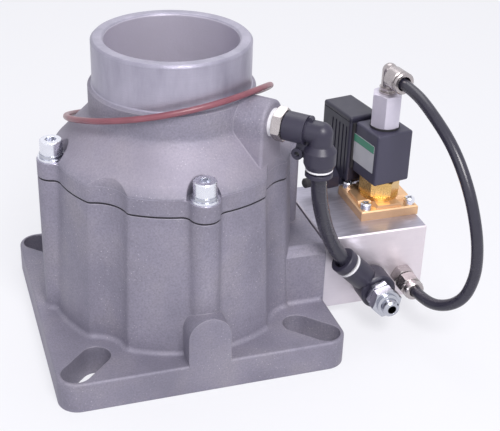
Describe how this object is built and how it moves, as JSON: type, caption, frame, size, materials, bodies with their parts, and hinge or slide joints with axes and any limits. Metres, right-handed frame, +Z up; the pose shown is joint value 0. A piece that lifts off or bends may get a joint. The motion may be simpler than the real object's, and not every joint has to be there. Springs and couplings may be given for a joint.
{
  "type": "compressor intake valve",
  "caption": "Flanged intake valve for a screw compressor: disc valve and servo piston inside, servo tube, manifold block and solenoid valve with connector outside.",
  "frame": {"origin": "centre of the outlet bore on the underside of the mounting flange", "axes": "+Z up the inlet neck's axis, +X towards the manifold block, -Y towards the lug on the flange's front edge"},
  "size_m": [0.2439, 0.1849, 0.1816],
  "materials": {
    "cast_aluminium": "shot-blasted casting, slightly mauve grey",
    "gasket_sheet": "dark pressed gasket sheet",
    "zinc_steel": "bright zinc plating",
    "valve_aluminium": "turned aluminium",
    "seal_rubber": "black nitrile rubber",
    "steel": "turned steel",
    "spring_steel": "oiled spring wire",
    "bronze": "sintered bronze",
    "red_rubber": "red-brown rubber, satin",
    "white_seal": "white thread seal",
    "nickel": "satin nickel plating",
    "fitting_plastic": "black moulded plastic, satin gloss",
    "white_plastic": "white moulded plastic",
    "tube_plastic": "black nylon tube, satin",
    "block_aluminium": "brushed aluminium",
    "soft_metal": "soft sealing washer",
    "brass": "bright turned brass",
    "plate_brass": "dull milled brass",
    "coil_plastic": "black encapsulation, fine grain",
    "connector_plastic": "black moulded plastic",
    "dark_rubber": "dark rubber"
  },
  "bodies": {
    "root": {"housing": "cast_aluminium", "cover": "cast_aluminium", "body_gasket": "gasket_sheet", "manifold_gasket": "gasket_sheet", "cover_bolts": "zinc_steel", "cover_washers": "zinc_steel", "cover_spring_washers": "zinc_steel", "plate_screws": "zinc_steel", "banjo_bolt": "zinc_steel", "circlip": "zinc_steel", "cylinder_cap": "valve_aluminium", "cap_ring": "seal_rubber", "elbow_tube_seal": "seal_rubber", "banjo_tube_seal": "seal_rubber", "top_tube_seal": "seal_rubber", "plate_seal": "seal_rubber", "connector_gasket": "seal_rubber", "armature_tube": "steel", "manifold_screws": "steel", "connector_screw": "steel", "return_spring": "spring_steel", "plunger_spring": "spring_steel", "guide_bush": "bronze", "port_seal": "white_seal", "elbow_stud": "nickel", "compression_body": "nickel", "compression_nut": "nickel", "standoff": "nickel", "top_stud": "nickel", "top_elbow": "nickel", "elbow_body": "fitting_plastic", "banjo_body": "fitting_plastic", "elbow_mouth_ring": "white_plastic", "banjo_mouth_ring": "white_plastic", "servo_tube": "tube_plastic", "solenoid_tube": "tube_plastic", "manifold_block": "block_aluminium", "banjo_washers": "soft_metal", "ferrule": "brass", "tube_nut": "brass", "solenoid_plate": "plate_brass", "coil": "coil_plastic", "connector": "connector_plastic", "gland_nut": "connector_plastic", "standoff_washer": "dark_rubber", "gland_sleeve": "dark_rubber"},
    "valve": {"valve_disc": "valve_aluminium", "disc_seal": "seal_rubber", "valve_stem": "steel", "stem_nuts": "steel", "servo_piston": "valve_aluminium", "piston_seal": "seal_rubber"},
    "plunger": {"plunger": "steel"},
    "elbow_collet": {"elbow_collet": "fitting_plastic"},
    "banjo_collet": {"banjo_collet": "fitting_plastic"},
    "top_collet": {"top_collet": "nickel"},
    "neck_ring": {"neck_ring": "red_rubber"}
  },
  "joints": [
    {"name": "valve_slide", "type": "slide", "parent": "root", "child": "valve", "axis": [0, 0, -1], "range_m": [0, 0.016], "stiffness_N_per_m": 800, "springref_m": -0.02, "deforming": ["return_spring"]},
    {"name": "plunger_slide", "type": "slide", "parent": "root", "child": "plunger", "axis": [0, 0, 1], "range_m": [0, 0.0018], "stiffness_N_per_m": 400, "springref_m": -0.006, "deforming": ["plunger_spring"]},
    {"name": "elbow_release", "type": "slide", "parent": "root", "child": "elbow_collet", "axis": [0, 0, 1], "range_m": [0, 0.001], "stiffness_N_per_m": 2000, "springref_m": -0.0005},
    {"name": "banjo_release", "type": "slide", "parent": "root", "child": "banjo_collet", "axis": [0.7071, 0, -0.7071], "range_m": [0, 0.001], "stiffness_N_per_m": 2000, "springref_m": -0.0005},
    {"name": "top_release", "type": "slide", "parent": "root", "child": "top_collet", "axis": [-0.134, 0.991, 0], "range_m": [0, 0.001], "stiffness_N_per_m": 2000, "springref_m": -0.0005},
    {"name": "neck_ring_lift", "type": "slide", "parent": "root", "child": "neck_ring", "axis": [0, 0, 1], "range_m": [0, 0.09]}
  ]
}
